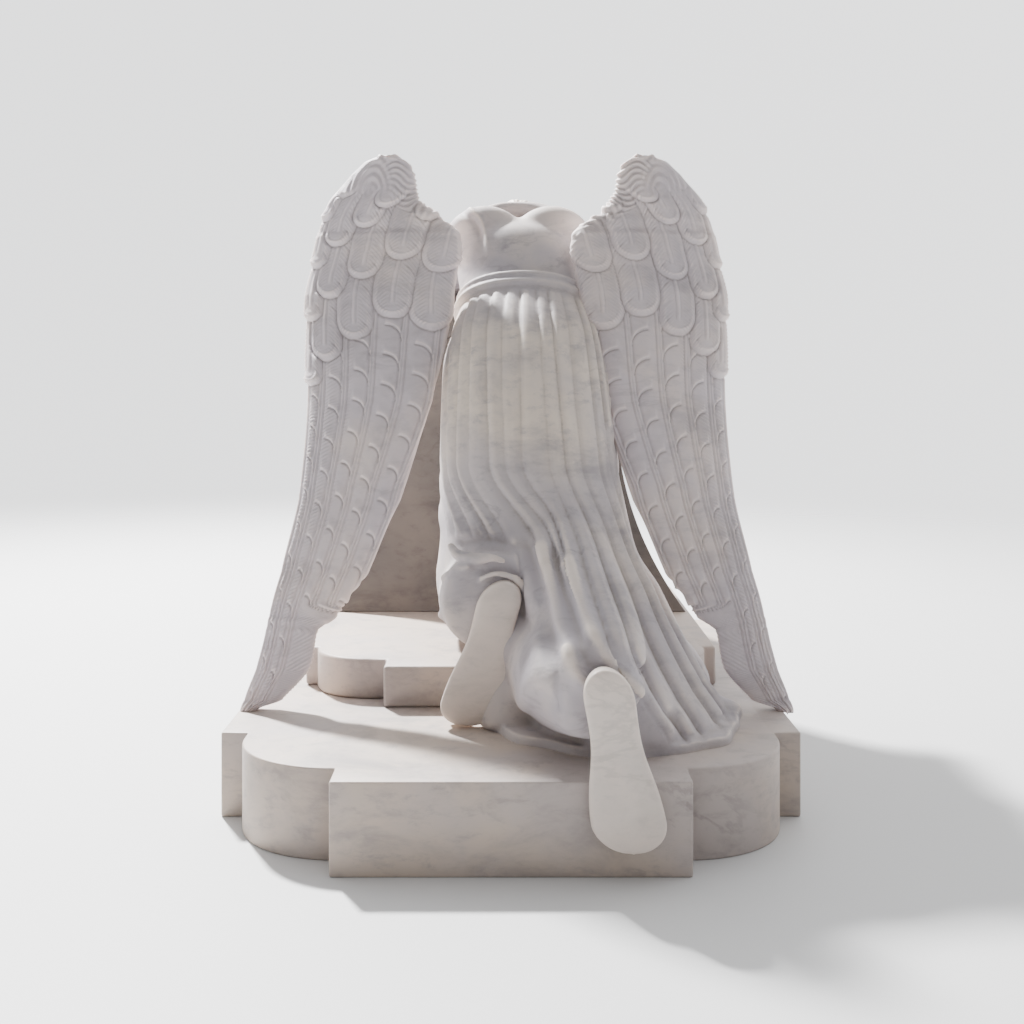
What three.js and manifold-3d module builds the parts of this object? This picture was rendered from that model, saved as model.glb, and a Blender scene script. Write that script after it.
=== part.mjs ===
// A kneeling angel in white marble, praying at an altar pedestal on a stepped base.
// Millimetres, +Z up. X runs to the angel's right, Y from the angel's heels towards the
// pedestal, and the origin is on the plinth's underside, in the plane between the wings.
import * as THREE from 'three';
import { mergeVertices } from 'three/addons/utils/BufferGeometryUtils.js';
import Module from 'manifold-3d';

const wasm = await Module();
wasm.setup();
const { smoothstep, lerp, clamp } = THREE.MathUtils;

// ---- Base ----
const seam = 0.4; // open joint between one carved piece and the next
const plinth = {
  bottom: 0, top: 160, nearEnd: -830, farEnd: 930,
  endPanel: 304, endProjection: 77, lobe: 499, lobeRadius: 193, side: 550, sideFrom: 303,
};
const step = {
  bottom: plinth.top, top: 245, nearEnd: -342, farEnd: 870,
  endPanel: 260, endProjection: 71, lobe: 420, lobeRadius: 120, side: 448, sideFrom: 195,
};
const pedestal = {
  middle: 470, foot: 438, footDepth: 202, waist: 268, waistDepth: 132, waistHeight: 800,
  flare: 2.4, flareSteps: 9, neck: 284, neckDepth: 144, neckHeight: 932, cove: [294, 170],
  cornice: 325, corniceDepth: 184, corniceFrom: 962, corniceEdge: 976, top: 1015,
};

// ---- Figure ----
// Each ring of the body, from hem to neck: middle X, half width, back (y, z) and front (y, z).
const bodyRings = [
  { middle: 232, half: 216, back: [-676, 150], front: [60, 150] },
  { middle: 186, half: 206, back: [-640, 240], front: [105, 240] },
  { middle: 88, half: 238, back: [-500, 365], front: [110, 350] },
  { middle: 52, half: 204, back: [-420, 520], front: [80, 480] },
  { middle: 37, half: 190, back: [-335, 740], front: [60, 640] },
  { middle: 30, half: 178, back: [-180, 940], front: [120, 800] },
  { middle: 29, half: 147, back: [-32, 1058], front: [190, 930] },
  { middle: 22, half: 152, back: [45, 1165], front: [262, 1035] },
  { middle: 22, half: 132, back: [105, 1202], front: [285, 1105] },
  { middle: 20, half: 62, back: [185, 1215], front: [270, 1170] },
];
const beltRing = 6;
const pleats = { count: 13, depth: 11, sweep: 0.5, sweepFrom: 640, sweepTo: 250, steps: 3 };
const cord = { radius: 11, hangingRadius: 15, lower: -20, upper: 6 };
const hem = { middle: [205, -405], reach: [252, 296], thick: 16, wave: 0.035, waves: 7 };
// Round forms under and in the cloth, as balls along a line: x, y, z and radius.
const legForms = [
  {
    name: 'right calf',
    stops: [[60, -120, 330, 100], [88, -420, 286, 104], [104, -640, 288, 94], [146, -806, 304, 80]],
  },
  {
    name: 'cloth over the calf',
    stops: [[70, -260, 500, 120], [122, -460, 420, 98], [150, -650, 352, 84], [158, -780, 326, 68]],
  },
  { name: 'cloth to the hem', stops: [[170, -300, 262, 118], [196, -540, 222, 104], [216, -700, 192, 74]] },
  { name: 'left shin', stops: [[-56, 20, 345, 98], [-52, -300, 380, 98], [-38, -488, 400, 94]] },
  { name: 'fold by the left foot', stops: [[10, -400, 320, 40], [0, -470, 230, 44], [-8, -490, 150, 62]] },
];
const feet = [
  { toe: [-84, -492, 163], heel: [-12, -500, 443], thick: 40 },
  { toe: [202, -852, 48], heel: [155, -850, 352], thick: 32 },
];
const foot = { heelDepth: 84, soleDepth: 13, ball: 63, heel: 43, rounding: 0.17 };
const shoulder = { across: 80, middle: 18, y: 158, z: 1163, size: [98, 64, 82], tilt: 0.25 };
// Arms: how far out from the middle, y, z and radius.
const middleX = 20;
const armForms = [
  {
    name: 'upper sleeve',
    stops: [[65, 130, 1168, 60], [132, 225, 1150, 62], [202, 375, 1090, 60], [236, 452, 1068, 50]],
  },
  { name: 'lower sleeve', stops: [[242, 432, 1070, 50], [130, 488, 1073, 54], [60, 514, 1080, 41]] },
  { name: 'wrist', stops: [[70, 514, 1080, 27], [30, 520, 1080, 25], [12, 534, 1092, 24]] },
];
const palm = { out: 10, y: 548, z: 1106, size: [16, 68, 38], lift: 0.7, lean: 0.06 };
const head = {
  at: [20, 372, 1186], bow: 0.85,
  skull: [70, 90, 94], face: [56, 58, 74], nose: [11, 16, 24], knot: [50, 34, 36],
  hair: [80, 98, 104], locks: 11, lockRelief: 0.035, hairTilt: 0.42, hairReach: 0.62,
};
const neckStops = [[20, 195, 1160, 56], [20, 275, 1160, 50], [20, 340, 1165, 52]];

// ---- Wings ----
// Height, then how far the outer and inner edges stand from the wings' mirror plane, and depth.
const wingRings = [
  { z: 160.5, outer: 556, inner: 530, y: -357 },
  { z: 180, outer: 550, inner: 478, y: -352 },
  { z: 240, outer: 529, inner: 424, y: -342 },
  { z: 318, outer: 512, inner: 408, y: -326 },
  { z: 342, outer: 507, inner: 372, y: -320 },
  { z: 430, outer: 488, inner: 308, y: -296 },
  { z: 575, outer: 464, inner: 246, y: -240 },
  { z: 780, outer: 464, inner: 184, y: -142 },
  { z: 1020, outer: 486, inner: 142, y: -12 },
  { z: 1160, outer: 466, inner: 134, y: 32 },
  { z: 1200, outer: 455, inner: 176, y: 38 },
  { z: 1228, outer: 443, inner: 218, y: 40 },
  { z: 1265, outer: 420, inner: 232, y: 40 },
  { z: 1305, outer: 384, inner: 240, y: 38 },
  { z: 1332, outer: 352, inner: 256, y: 36 },
  { z: 1344, outer: 324, inner: 280, y: 35 },
];
const wing = {
  mirror: 12, levels: 29, across: 17, behind: 4, thick: 62, thin: 26, wrap: 62,
  thickFrom: 300, thickTo: 1000, roundFrom: 1180, roundTo: 1352, wrapFrom: 250, wrapTo: 900,
  covertsTo: 850, covertRow: 86, covertWidth: 0.22, covertRise: 9, primaries: 6, primaryRise: 6,
};

// A smooth curve through named stops, read at any place between them.
function through(stops, key, place) {
  const last = stops.length - 1;
  const index = clamp(Math.floor(place), 0, last - 1);
  const share = place - index;
  const value = (i) => key(stops[clamp(i, 0, last)]);
  const [before, from, to, after] = [-1, 0, 1, 2].map((step) => value(index + step));
  const leave = (to - before) / 2;
  const arrive = (after - from) / 2;
  const bend = 2 * (from - to) + leave + arrive;
  return from + share * (leave + share * (3 * (to - from) - 2 * leave - arrive + share * bend));
}

// The place among stops that are sorted by height.
function placeAt(stops, z) {
  const above = stops.findIndex((stop) => stop.z > z);
  if (above < 1) return above === 0 ? 0 : stops.length - 1;
  return above - 1 + (z - stops[above - 1].z) / (stops[above].z - stops[above - 1].z);
}

function meshOf(positions, indices) {
  const geometry = new THREE.BufferGeometry();
  geometry.setAttribute('position', new THREE.Float32BufferAttribute(positions, 3));
  geometry.setIndex(indices);
  return geometry;
}

// Closed surface from rings of points, capped with a fan at each end.
function ringSurface(ringCount, segmentCount, pointAt) {
  const positions = [];
  const indices = [];
  for (let ring = 0; ring < ringCount; ring += 1) {
    for (let segment = 0; segment < segmentCount; segment += 1) {
      positions.push(...pointAt(ring / (ringCount - 1), segment));
    }
  }
  for (const ring of [0, ringCount - 1]) {
    const centre = [0, 1, 2].map((axis) => {
      let sum = 0;
      for (let segment = 0; segment < segmentCount; segment += 1) {
        sum += positions[(ring * segmentCount + segment) * 3 + axis];
      }
      return sum / segmentCount;
    });
    positions.push(...centre);
  }
  const firstCap = ringCount * segmentCount;
  for (let segment = 0; segment < segmentCount; segment += 1) {
    const next = (segment + 1) % segmentCount;
    indices.push(firstCap, next, segment);
    const top = (ringCount - 1) * segmentCount;
    indices.push(firstCap + 1, top + segment, top + next);
    for (let ring = 0; ring < ringCount - 1; ring += 1) {
      const low = ring * segmentCount;
      const high = low + segmentCount;
      indices.push(low + segment, low + next, high + next);
      indices.push(low + segment, high + next, high + segment);
    }
  }
  return meshOf(positions, indices);
}

function flipped(geometry) {
  const turned = geometry.clone();
  const index = Array.from(geometry.index.array);
  for (let i = 0; i < index.length; i += 3) [index[i], index[i + 1]] = [index[i + 1], index[i]];
  turned.setIndex(index);
  return turned;
}

function toSolid(source) {
  const geometry = source.clone();
  geometry.deleteAttribute('normal');
  geometry.deleteAttribute('uv');
  const merged = mergeVertices(geometry, 1e-3);
  const solid = new wasm.Manifold(new wasm.Mesh({
    numProp: 3,
    vertProperties: new Float32Array(merged.attributes.position.array),
    triVerts: new Uint32Array(merged.index.array),
  }));
  return solid.volume() < 0 ? toSolid(flipped(merged)) : solid;
}

function toGeometry(solid) {
  const mesh = solid.getMesh();
  const geometry = new THREE.BufferGeometry();
  geometry.setAttribute('position', new THREE.BufferAttribute(mesh.vertProperties, 3));
  geometry.setIndex(new THREE.BufferAttribute(mesh.triVerts, 1));
  return geometry;
}

// Rounded limb along a line of balls, each [x, y, z, radius], blended into one tube.
function limb(stops, segments = 10, rings = 7) {
  const bluntness = 0.62;
  const at = (place) => new THREE.Vector3(...[0, 1, 2].map((axis) => through(stops, (s) => s[axis], place)));
  const length = stops.slice(1).reduce((sum, stop, i) => (
    sum + Math.hypot(...[0, 1, 2].map((axis) => stop[axis] - stops[i][axis]))), 0);
  return ringSurface(rings + 1, segments, (share, segment) => {
    const end = 0.5 - 0.5 * Math.cos(Math.PI * share);
    const place = end * (stops.length - 1);
    const ahead = at(Math.min(place + 0.02, stops.length - 1));
    const along = ahead.sub(at(Math.max(place - 0.02, 0))).normalize();
    const side = new THREE.Vector3(0, 0, 1).cross(along);
    if (side.length() < 0.2) side.set(1, 0, 0);
    side.normalize();
    const up = along.clone().cross(side);
    const radius = through(stops, (s) => s[3], place);
    const fromEnd = Math.min(end, 1 - end) * length / (radius * bluntness);
    const closing = fromEnd < 1 ? Math.sqrt(Math.max(0.01, 1 - (1 - fromEnd) ** 2)) : 1;
    const angle = (segment / segments) * 2 * Math.PI;
    const point = at(place);
    point.addScaledVector(side, radius * closing * Math.cos(angle));
    point.addScaledVector(up, radius * closing * Math.sin(angle));
    return point.toArray();
  });
}

function ellipsoid(at, size, turn = [0, 0, 0], detail = 12) {
  const geometry = new THREE.SphereGeometry(1, detail, Math.round(detail * 0.7));
  geometry.scale(...size);
  geometry.rotateX(turn[0]);
  geometry.rotateY(turn[1]);
  geometry.rotateZ(turn[2]);
  geometry.translate(...at);
  return geometry;
}

// Base plan: end panels, quarter-round lobes at the corners, and long side panels.
function basePlan(size, grow = 0) {
  const middle = (size.nearEnd + size.farEnd) / 2;
  const halfLength = (size.farEnd - size.nearEnd) / 2;
  const lobeFront = halfLength - size.endProjection;
  const sideTo = halfLength - size.sideFrom;
  const shape = new THREE.Shape();
  const points = [];
  const quarter = 8;
  for (const [mx, my] of [[1, 1], [-1, 1], [-1, -1], [1, -1]]) {
    const corner = [
      [size.side + grow, sideTo + grow],
      [size.lobe + grow, sideTo + grow],
    ];
    for (let i = 0; i <= quarter; i += 1) {
      const angle = (i / quarter) * Math.PI / 2;
      corner.push([
        size.lobe - size.lobeRadius + (size.lobeRadius + grow) * Math.cos(angle),
        lobeFront - size.lobeRadius + (size.lobeRadius + grow) * Math.sin(angle),
      ]);
    }
    corner.push([size.endPanel + grow, lobeFront + grow]);
    corner.push([size.endPanel + grow, halfLength + grow]);
    const placed = corner.map(([x, y]) => [mx * x, middle + my * y]);
    points.push(...(mx * my > 0 ? placed : placed.reverse()));
  }
  shape.setFromPoints(points.map(([x, y]) => new THREE.Vector2(x, y)));
  return shape;
}

function slab(size, grow = 0) {
  const height = size.top - size.bottom + 2 * grow;
  const geometry = new THREE.ExtrudeGeometry(basePlan(size, grow), { depth: height, bevelEnabled: false });
  geometry.translate(0, 0, size.bottom - grow);
  return geometry;
}

// Altar pedestal: sides flare from a waist down to a broad foot and up to a moulded top.
function pedestalSurface(grow = 0) {
  const p = pedestal;
  const levels = [];
  for (let i = 0; i <= p.flareSteps; i += 1) {
    const share = i / p.flareSteps;
    const flare = (1 - share) ** p.flare;
    levels.push([lerp(step.top, p.waistHeight, share), lerp(p.waist, p.foot, flare),
      lerp(p.waistDepth, p.footDepth, flare)]);
  }
  levels.push([p.neckHeight, p.neck, p.neckDepth]);
  levels.push([p.corniceFrom, ...p.cove]);
  levels.push([p.corniceEdge, p.cornice, p.corniceDepth]);
  levels.push([p.top, p.cornice, p.corniceDepth]);
  const corners = [[1, -1], [1, 1], [-1, 1], [-1, -1]];
  return ringSurface(levels.length, corners.length, (share, segment) => {
    const level = Math.round(share * (levels.length - 1));
    const [z, width, depth] = levels[level];
    const [cx, cy] = corners[segment];
    const ends = new Map([[0, seam - grow], [levels.length - 1, grow]]);
    const rise = ends.get(level) ?? 0;
    return [cx * (width + grow), p.middle + cy * (depth + grow), z + rise];
  });
}

// Gathered gown and torso. Across the back the segments follow the pleats, which hang
// straight from the belt and sweep towards the angel's right below the hips.
const bodyLevels = 16;
const backSegments = pleats.count * pleats.steps;
const leftSegments = 6;
const frontSegments = 13;

function bodyPoint(place, around) {
  const ring = (key) => through(bodyRings, key, place);
  const backZ = ring((r) => r.back[1]);
  const swept = smoothstep(pleats.sweepFrom - backZ, 0, pleats.sweepFrom - pleats.sweepTo);
  const start = lerp(0.06, pleats.sweep, swept);
  const gown = smoothstep(beltRing + 0.05 - place, 0, 0.5);
  let angle;
  let fold;
  if (around <= leftSegments) {
    angle = Math.PI * (1 - start * (around / leftSegments));
    fold = -0.3 * swept;
  } else if (around <= leftSegments + backSegments) {
    const pleat = (around - leftSegments) / pleats.steps;
    angle = Math.PI * (1 - start) * (1 - pleat / pleats.count);
    fold = 0.5 - Math.abs(Math.cos(Math.PI * pleat)) ** 1.5;
  } else {
    const front = (around - leftSegments - backSegments) / (frontSegments + 1);
    angle = -Math.PI * front;
    fold = 0.7 * Math.sin(5 * Math.PI * front) * swept;
  }
  const relief = 1 + gown * fold * pleats.depth / ring((r) => r.half);
  const squared = (value) => Math.sign(value) * Math.abs(value) ** 0.86 * relief;
  const towardsBack = 0.5 + 0.5 * squared(Math.sin(angle));
  return [
    ring((r) => r.middle) + ring((r) => r.half) * squared(Math.cos(angle)),
    lerp(ring((r) => r.front[0]), ring((r) => r.back[0]), towardsBack),
    lerp(ring((r) => r.front[1]), backZ, towardsBack),
  ];
}

function bodySurface() {
  const segments = leftSegments + backSegments + frontSegments;
  const top = bodyRings.length - 1;
  return ringSurface(bodyLevels, segments, (share, segment) => bodyPoint(share * top, segment));
}

// Sole and instep of a bare foot that stands on its toes, sole to the back.
function footSurface({ toe, heel, thick }) {
  const rings = 10;
  const segments = 12;
  return ringSurface(rings + 1, segments, (share, segment) => {
    const along = 0.5 - 0.5 * Math.cos(Math.PI * share);
    const nearest = Math.min(along, 1 - along) / foot.rounding;
    const ends = nearest < 1 ? Math.sqrt(Math.max(0.02, 1 - (1 - nearest) ** 2)) : 1;
    const half = lerp(foot.ball, foot.heel, smoothstep(along, 0.15, 0.75)) * ends;
    const whole = lerp(thick, foot.heelDepth, smoothstep(along, 0.25, 0.8)) * Math.sqrt(ends);
    const angle = (segment / segments) * 2 * Math.PI;
    const sole = Math.sin(angle) < 0;
    const depth = Math.sin(angle) * (sole ? foot.soleDepth : whole - foot.soleDepth);
    const width = Math.sign(Math.cos(angle)) * Math.abs(Math.cos(angle)) ** (sole ? 0.55 : 0.85);
    return [
      lerp(toe[0], heel[0], along) + half * width,
      lerp(toe[1], heel[1], along) + depth,
      lerp(toe[2], heel[2], along),
    ];
  });
}

// Wing: one carved slab, convex towards the back, with rows of short feathers that lap
// over long ones.
function wingSurface(side, grow = 0) {
  const { levels, across, behind } = wing;
  const bottom = wingRings[0].z;
  const top = wingRings[wingRings.length - 1].z;
  return ringSurface(levels + 1, across + behind, (share, segment) => {
    const z = lerp(bottom, top, share ** 0.96);
    const place = placeAt(wingRings, z);
    const outer = through(wingRings, (r) => r.outer, place) + grow;
    const inner = through(wingRings, (r) => r.inner, place) - grow;
    const near = segment <= across;
    const t = near ? segment / across : 1 - (segment - across) / behind;
    const rounding = Math.sqrt(1 - 0.85 * smoothstep(z, wing.roundFrom, wing.roundTo) ** 2);
    const thickness = lerp(wing.thin, wing.thick, smoothstep(z, wing.thickFrom, wing.thickTo));
    const halfThick = thickness / 2 * rounding + grow;
    const closing = Math.max(0.12, 1 - Math.abs(2 * t - 1) ** 5);
    const wrap = wing.wrap * rounding * (1 - t) ** 3 * smoothstep(z, wing.wrapFrom, wing.wrapTo);
    const relief = near ? featherRelief(t, z) * smoothstep(closing, 0.1, 0.6) : 0;
    const outwards = near ? -halfThick * closing - relief : halfThick * closing;
    const endGrow = new Map([[0, -grow], [1, grow]]).get(share) ?? 0;
    return [
      wing.mirror + side * lerp(outer, inner, t),
      through(wingRings, (r) => r.y, place) + wrap + outwards,
      z + endGrow,
    ];
  });
}

function featherRelief(t, z) {
  if (z < wing.covertsTo) {
    return wing.primaryRise * Math.abs(Math.sin(Math.PI * wing.primaries * t)) ** 0.7;
  }
  const fall = (z - wing.covertsTo) / wing.covertRow;
  const row = Math.floor(fall);
  const stagger = (row % 2) * 0.5;
  const feather = Math.abs(Math.sin(Math.PI * (t / wing.covertWidth + stagger)));
  const lap = 1 - (fall - row);
  return wing.covertRise * (0.35 + 0.65 * lap) * (0.45 + 0.55 * feather);
}

// One of the two cords round the waist, at a rise above the belt's own plane.
function beltCord(rise) {
  const turns = 28;
  const sides = 5;
  const positions = [];
  const indices = [];
  const ring = (key) => through(bodyRings, key, beltRing);
  const front = new THREE.Vector3(ring((r) => r.middle), ...[0, 1].map((k) => ring((r) => r.front[k])));
  const back = new THREE.Vector3(ring((r) => r.middle), ...[0, 1].map((k) => ring((r) => r.back[k])));
  const reach = front.distanceTo(back) / 2;
  const forwards = front.clone().sub(back).normalize();
  const upwards = new THREE.Vector3(1, 0, 0).cross(forwards);
  for (let i = 0; i < turns; i += 1) {
    const angle = (i / turns) * 2 * Math.PI;
    const out = new THREE.Vector3(Math.cos(angle), 0, 0).addScaledVector(forwards, -Math.sin(angle));
    const centre = front.clone().add(back).divideScalar(2);
    centre.x += ring((r) => r.half) * Math.cos(angle);
    centre.addScaledVector(forwards, -reach * Math.sin(angle)).addScaledVector(upwards, rise);
    for (let k = 0; k < sides; k += 1) {
      const bend = (k / sides) * 2 * Math.PI;
      const point = centre.clone().addScaledVector(out, cord.radius * Math.cos(bend));
      positions.push(...point.addScaledVector(upwards, cord.radius * Math.sin(bend)).toArray());
      const next = ((i + 1) % turns) * sides;
      const far = (k + 1) % sides;
      indices.push(i * sides + k, next + k, next + far);
      indices.push(i * sides + k, next + far, i * sides + far);
    }
  }
  return meshOf(positions, indices);
}

// The belt's hanging end lies on the gown at the angel's right hip.
function hangingCord() {
  const segment = leftSegments + backSegments - 3;
  const places = [0.1, 0.7, 1.3, 1.8].map((below) => bodyPoint(beltRing - below, segment));
  return limb(places.map((place) => [...place, cord.hangingRadius]), 6, 7);
}

function hemSheet() {
  const shape = new THREE.Shape();
  const points = [];
  const count = 40;
  for (let i = 0; i < count; i += 1) {
    const angle = (i / count) * 2 * Math.PI;
    const wave = 1 + hem.wave * Math.sin(hem.waves * angle + 0.6);
    points.push(new THREE.Vector2(
      hem.middle[0] + hem.reach[0] * wave * Math.cos(angle),
      hem.middle[1] + hem.reach[1] * wave * Math.sin(angle),
    ));
  }
  shape.setFromPoints(points);
  const geometry = new THREE.ExtrudeGeometry(shape, { depth: hem.thick, bevelEnabled: false });
  geometry.translate(0, 0, plinth.top);
  return geometry;
}

// Head bowed over the hands: skull, face, nose, waved hair and a low knot at the nape.
function headPieces() {
  const onHead = (at, size, tilt = 0) => {
    const turned = new THREE.Vector3(...at).applyAxisAngle(new THREE.Vector3(1, 0, 0), -head.bow);
    const place = turned.toArray().map((value, axis) => value + head.at[axis]);
    return ellipsoid(place, size, [tilt - head.bow, 0, 0]);
  };
  return [
    limb(neckStops, 10, 6),
    onHead([0, 4, 8], head.skull),
    onHead([0, 30, -42], head.face, 0.15),
    onHead([0, 92, -34], head.nose, 0.35),
    hairCap(),
    onHead([0, -92, -28], head.knot),
  ];
}

function hairCap() {
  const around = head.locks * 3;
  const rows = 7;
  const sphere = new THREE.SphereGeometry(1, around, rows, 0, 2 * Math.PI, 0, Math.PI * head.hairReach);
  const points = sphere.attributes.position;
  const positions = [];
  for (let i = 0; i < points.count; i += 1) {
    const point = new THREE.Vector3().fromBufferAttribute(points, i);
    const turn = Math.atan2(point.z, point.x);
    const lock = Math.abs(Math.sin(head.locks * turn / 2)) * (1 - point.y ** 4);
    const wave = 1 + head.lockRelief * lock;
    positions.push(point.x * head.hair[0] * wave, -point.z * head.hair[1] * wave, point.y * head.hair[2]);
  }
  const underside = [0, 0, -40];
  const lastRow = rows * (around + 1);
  const indices = Array.from(sphere.index.array);
  for (let i = 0; i < around; i += 1) indices.push(lastRow + i, points.count, lastRow + i + 1);
  const cap = meshOf([...positions, ...underside], indices);
  cap.rotateX(head.hairTilt - head.bow);
  cap.translate(...head.at);
  return cap;
}

// Sleeved arm, its elbow on the pedestal, and one of the two joined hands.
function arm(side) {
  const limbs = armForms.map(({ stops }) => (
    limb(stops.map(([out, ...rest]) => [middleX + side * out, ...rest]))));
  const place = [middleX + side * palm.out, palm.y, palm.z];
  return [...limbs, ellipsoid(place, palm.size, [palm.lift, 0, -side * palm.lean], 10)];
}

function shoulderForm(side) {
  const at = [shoulder.middle + side * shoulder.across, shoulder.y, shoulder.z];
  return ellipsoid(at, shoulder.size, [shoulder.tilt, 0, 0]);
}

function figureSolid() {
  const forms = [
    bodySurface(),
    hemSheet(),
    beltCord(cord.lower),
    beltCord(cord.upper),
    ...legForms.map(({ stops }) => limb(stops, 12, 8)),
    ...feet.map((size) => footSurface(size)),
    ...[-1, 1].map((side) => shoulderForm(side)),
    hangingCord(),
    ...[-1, 1].flatMap((side) => arm(side)),
    ...headPieces(),
  ];
  const beside = [slab(plinth, seam), slab(step, seam), pedestalSurface(seam),
    wingSurface(-1, seam), wingSurface(1, seam)];
  const joined = forms.map(toSolid).reduce((figure, form) => figure.add(form));
  return beside.map(toSolid).reduce((figure, neighbour) => figure.subtract(neighbour), joined);
}

const marble = (name, colour, roughness) => new THREE.MeshStandardMaterial({
  name, color: colour, roughness, metalness: 0,
});
const warmMarble = marble('warm marble', 0xded6cb, 0.4);
const coolMarble = marble('cool marble', 0xd9d4d6, 0.5);
const gownMarble = marble('gown marble', 0xdbd4cc, 0.45);

const group = new THREE.Group();

function addPiece(name, solid, material) {
  const mesh = new THREE.Mesh(toGeometry(solid), material);
  mesh.name = name;
  group.add(mesh);
}

addPiece('plinth', toSolid(slab(plinth)), warmMarble);
addPiece('upper_step', toSolid(slab({ ...step, bottom: step.bottom + seam })), warmMarble);
addPiece('pedestal', toSolid(pedestalSurface()), warmMarble);
addPiece('angel', figureSolid(), gownMarble);
addPiece('left_wing', toSolid(wingSurface(-1)), coolMarble);
addPiece('right_wing', toSolid(wingSurface(1)), coolMarble);

export default group;
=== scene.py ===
"""A kneeling marble angel that prays at an altar pedestal on a stepped base."""

import math

import bmesh
import bpy
import numpy as np
from mathutils import Euler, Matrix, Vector


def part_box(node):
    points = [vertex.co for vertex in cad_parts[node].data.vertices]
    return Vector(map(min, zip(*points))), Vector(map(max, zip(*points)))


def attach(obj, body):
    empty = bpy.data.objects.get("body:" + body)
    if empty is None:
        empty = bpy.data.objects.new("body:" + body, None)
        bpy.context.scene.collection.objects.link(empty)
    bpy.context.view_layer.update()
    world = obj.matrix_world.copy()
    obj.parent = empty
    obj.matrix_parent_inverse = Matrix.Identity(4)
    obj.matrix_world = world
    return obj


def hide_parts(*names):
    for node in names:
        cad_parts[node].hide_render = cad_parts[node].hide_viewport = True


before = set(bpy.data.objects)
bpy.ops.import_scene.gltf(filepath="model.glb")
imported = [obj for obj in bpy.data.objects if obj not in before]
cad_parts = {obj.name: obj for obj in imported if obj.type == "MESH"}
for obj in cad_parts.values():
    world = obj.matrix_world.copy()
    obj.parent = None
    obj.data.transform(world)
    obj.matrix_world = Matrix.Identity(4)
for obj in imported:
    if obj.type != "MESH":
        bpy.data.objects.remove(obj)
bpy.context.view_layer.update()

# ---- The base ----
# Two slabs of white marble, sawn and honed, with straight end and side panels and a quarter
# round lobe at each corner. Their arrises are eased so that they don't chip.
BASE_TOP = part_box("plinth")[1].z
STEP_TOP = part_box("upper_step")[1].z


class Socket:
    """A shader value that takes part in Python arithmetic."""

    def __init__(self, tree, link):
        self.tree, self.link = tree, link

    def maths(self, operation, *others):
        return self.tree.node("ShaderNodeMath", {"operation": operation}, [self, *others])[0]

    def __add__(self, other):
        return self.maths("ADD", other)

    def __sub__(self, other):
        return self.maths("SUBTRACT", other)

    def __rsub__(self, other):
        return self.tree.node("ShaderNodeMath", {"operation": "SUBTRACT"}, [other, self])[0]

    def __mul__(self, other):
        return self.maths("MULTIPLY", other)

    def __pow__(self, other):
        return self.maths("POWER", other)

    __radd__, __rmul__ = __add__, __mul__

    def ramp(self, low, high):
        """0 below low, 1 above high, smooth between."""
        settings = {"interpolation_type": "SMOOTHSTEP"}
        inputs = {"Value": self, "From Min": low, "From Max": high, "To Min": 0.0, "To Max": 1.0}
        return self.tree.node("ShaderNodeMapRange", settings, inputs)[0]


class Finish:
    """The nodes of a material, or of the world, under construction."""

    def __init__(self, owner):
        owner.use_nodes = True
        self.owner = owner
        self.nodes, self.links = owner.node_tree.nodes, owner.node_tree.links
        self.shader = self.nodes.get("Principled BSDF") or self.nodes["Background"]

    def node(self, kind, settings=None, inputs=None):
        """Any node: its settings first, then the value or link of each socket."""
        made = self.nodes.new(kind)
        for name, value in (settings or {}).items():
            setattr(made, name, value)
        pairs = enumerate(inputs) if isinstance(inputs, (list, tuple)) else (inputs or {}).items()
        for name, value in pairs:
            value = getattr(value, "link", value)
            if isinstance(value, bpy.types.NodeSocket):
                self.links.new(value, made.inputs[name])
            else:
                made.inputs[name].default_value = value
        return [Socket(self, output) for output in made.outputs]

    def noise(self, place, scale, detail=4.0, roughness=0.55, distortion=0.0):
        inputs = {"Vector": place, "Scale": scale, "Detail": detail, "Roughness": roughness,
                  "Distortion": distortion}
        return self.node("ShaderNodeTexNoise", {}, inputs)[0]

    def blend(self, share, first, second):
        """From the first colour to the second."""
        first, second = ((*v, 1.0) if isinstance(v, tuple) else v for v in (first, second))
        return self.node("ShaderNodeMix", {"data_type": "RGBA"}, {0: share, 6: first, 7: second})[2]

    def plug(self, name, value):
        self.links.new(value.link, self.shader.inputs[name])


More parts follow.
